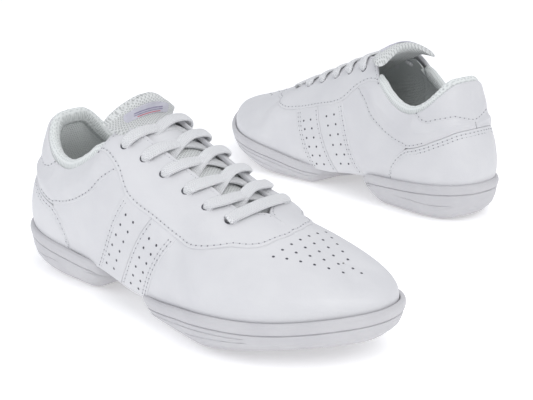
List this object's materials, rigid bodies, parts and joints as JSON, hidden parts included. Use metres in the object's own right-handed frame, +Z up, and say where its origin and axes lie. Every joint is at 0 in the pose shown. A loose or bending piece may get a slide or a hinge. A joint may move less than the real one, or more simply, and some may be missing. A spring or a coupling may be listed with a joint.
{
  "type": "cheer shoe pair",
  "caption": "Pair of white lace-up split-sole cheer shoes with perforated side bands, padded collar and knit tongue.",
  "frame": {"origin": "on the floor, at the middle of the right shoe's forefoot contact face", "axes": "+X along the right shoe from heel to toe, +Y to the right shoe's inner side, +Z up"},
  "size_m": [0.3395, 0.3729, 0.12],
  "materials": {
    "leather": "fine-grain coated leather, satin",
    "midsole": "moulded foam, matt",
    "sole_rubber": "moulded rubber, matt",
    "board": "pressed fibre board",
    "knit_lining": "fine knitted lining",
    "sock_foam": "foam sock with textile top",
    "tongue_knit": "padded spacer mesh",
    "label_satin": "woven satin",
    "lace": "flat-oval braided lace"
  },
  "bodies": {
    "right_forefoot": {"right_forefoot_outsole": "sole_rubber", "right_forefoot_midsole": "midsole", "right_forefoot_board": "board", "right_arch_sleeve": "leather", "right_sockliner": "sock_foam", "right_vamp": "leather", "right_toe_puff": "board", "right_eyestay": "leather", "right_stripe_front_lateral": "leather", "right_stripe_front_medial": "leather", "right_stripe_rear_lateral": "leather", "right_stripe_rear_medial": "leather", "right_front_lining": "knit_lining", "right_tongue": "tongue_knit", "right_lace_keeper": "leather", "right_lace": "lace"},
    "right_rearfoot": {"right_heel_outsole": "sole_rubber", "right_heel_midsole": "midsole", "right_heel_board": "board", "right_quarter_lateral": "leather", "right_quarter_medial": "leather", "right_collar_panel_lateral": "leather", "right_collar_panel_medial": "leather", "right_heel_counter": "leather", "right_counter_stiffener": "board", "right_heel_tab": "leather", "right_collar_binding": "knit_lining", "right_rear_lining": "knit_lining"},
    "right_tongue_tip": {"right_tongue_top": "tongue_knit", "right_tongue_label": "label_satin"},
    "left_forefoot": {"left_forefoot_outsole": "sole_rubber", "left_forefoot_midsole": "midsole", "left_forefoot_board": "board", "left_arch_sleeve": "leather", "left_sockliner": "sock_foam", "left_vamp": "leather", "left_toe_puff": "board", "left_eyestay": "leather", "left_stripe_front_lateral": "leather", "left_stripe_front_medial": "leather", "left_stripe_rear_lateral": "leather", "left_stripe_rear_medial": "leather", "left_front_lining": "knit_lining", "left_tongue": "tongue_knit", "left_lace_keeper": "leather", "left_lace": "lace"},
    "left_rearfoot": {"left_heel_outsole": "sole_rubber", "left_heel_midsole": "midsole", "left_heel_board": "board", "left_quarter_lateral": "leather", "left_quarter_medial": "leather", "left_collar_panel_lateral": "leather", "left_collar_panel_medial": "leather", "left_heel_counter": "leather", "left_counter_stiffener": "board", "left_heel_tab": "leather", "left_collar_binding": "knit_lining", "left_rear_lining": "knit_lining"},
    "left_tongue_tip": {"left_tongue_top": "tongue_knit", "left_tongue_label": "label_satin"}
  },
  "joints": [
    {"name": "right_arch_flex", "type": "hinge", "parent": "right_forefoot", "child": "right_rearfoot", "pos_m": [-0.044, 0, 0.046], "axis": [0, 1, 0], "range_deg": [0, 10], "stiffness_Nm_per_rad": 6, "deforming": ["right_quarter_lateral", "right_quarter_medial", "right_collar_panel_lateral", "right_collar_panel_medial", "right_arch_sleeve", "right_sockliner", "right_rear_lining", "right_collar_binding", "right_front_lining"]},
    {"name": "right_tongue_tilt", "type": "hinge", "parent": "right_forefoot", "child": "right_tongue_tip", "pos_m": [-0.0395, 0, 0.1005], "axis": [0, 1, 0], "range_deg": [-10, 15], "stiffness_Nm_per_rad": 0.3},
    {"name": "left_arch_flex", "type": "hinge", "parent": "left_forefoot", "child": "left_rearfoot", "pos_m": [-0.03296, 0.24485, 0.046], "axis": [-0.2079, -0.9781, 0], "range_deg": [0, 10], "stiffness_Nm_per_rad": 6, "deforming": ["left_quarter_lateral", "left_quarter_medial", "left_collar_panel_lateral", "left_collar_panel_medial", "left_arch_sleeve", "left_sockliner", "left_rear_lining", "left_collar_binding", "left_front_lining"]},
    {"name": "left_tongue_tilt", "type": "hinge", "parent": "left_forefoot", "child": "left_tongue_tip", "pos_m": [-0.03736, 0.24579, 0.1005], "axis": [-0.2079, -0.9781, 0], "range_deg": [-2, 15], "stiffness_Nm_per_rad": 0.3},
    {"name": "left_lift", "type": "slide", "parent": "right_forefoot", "child": "left_forefoot", "axis": [0, 0, 1], "range_m": [0, 0.15]}
  ]
}
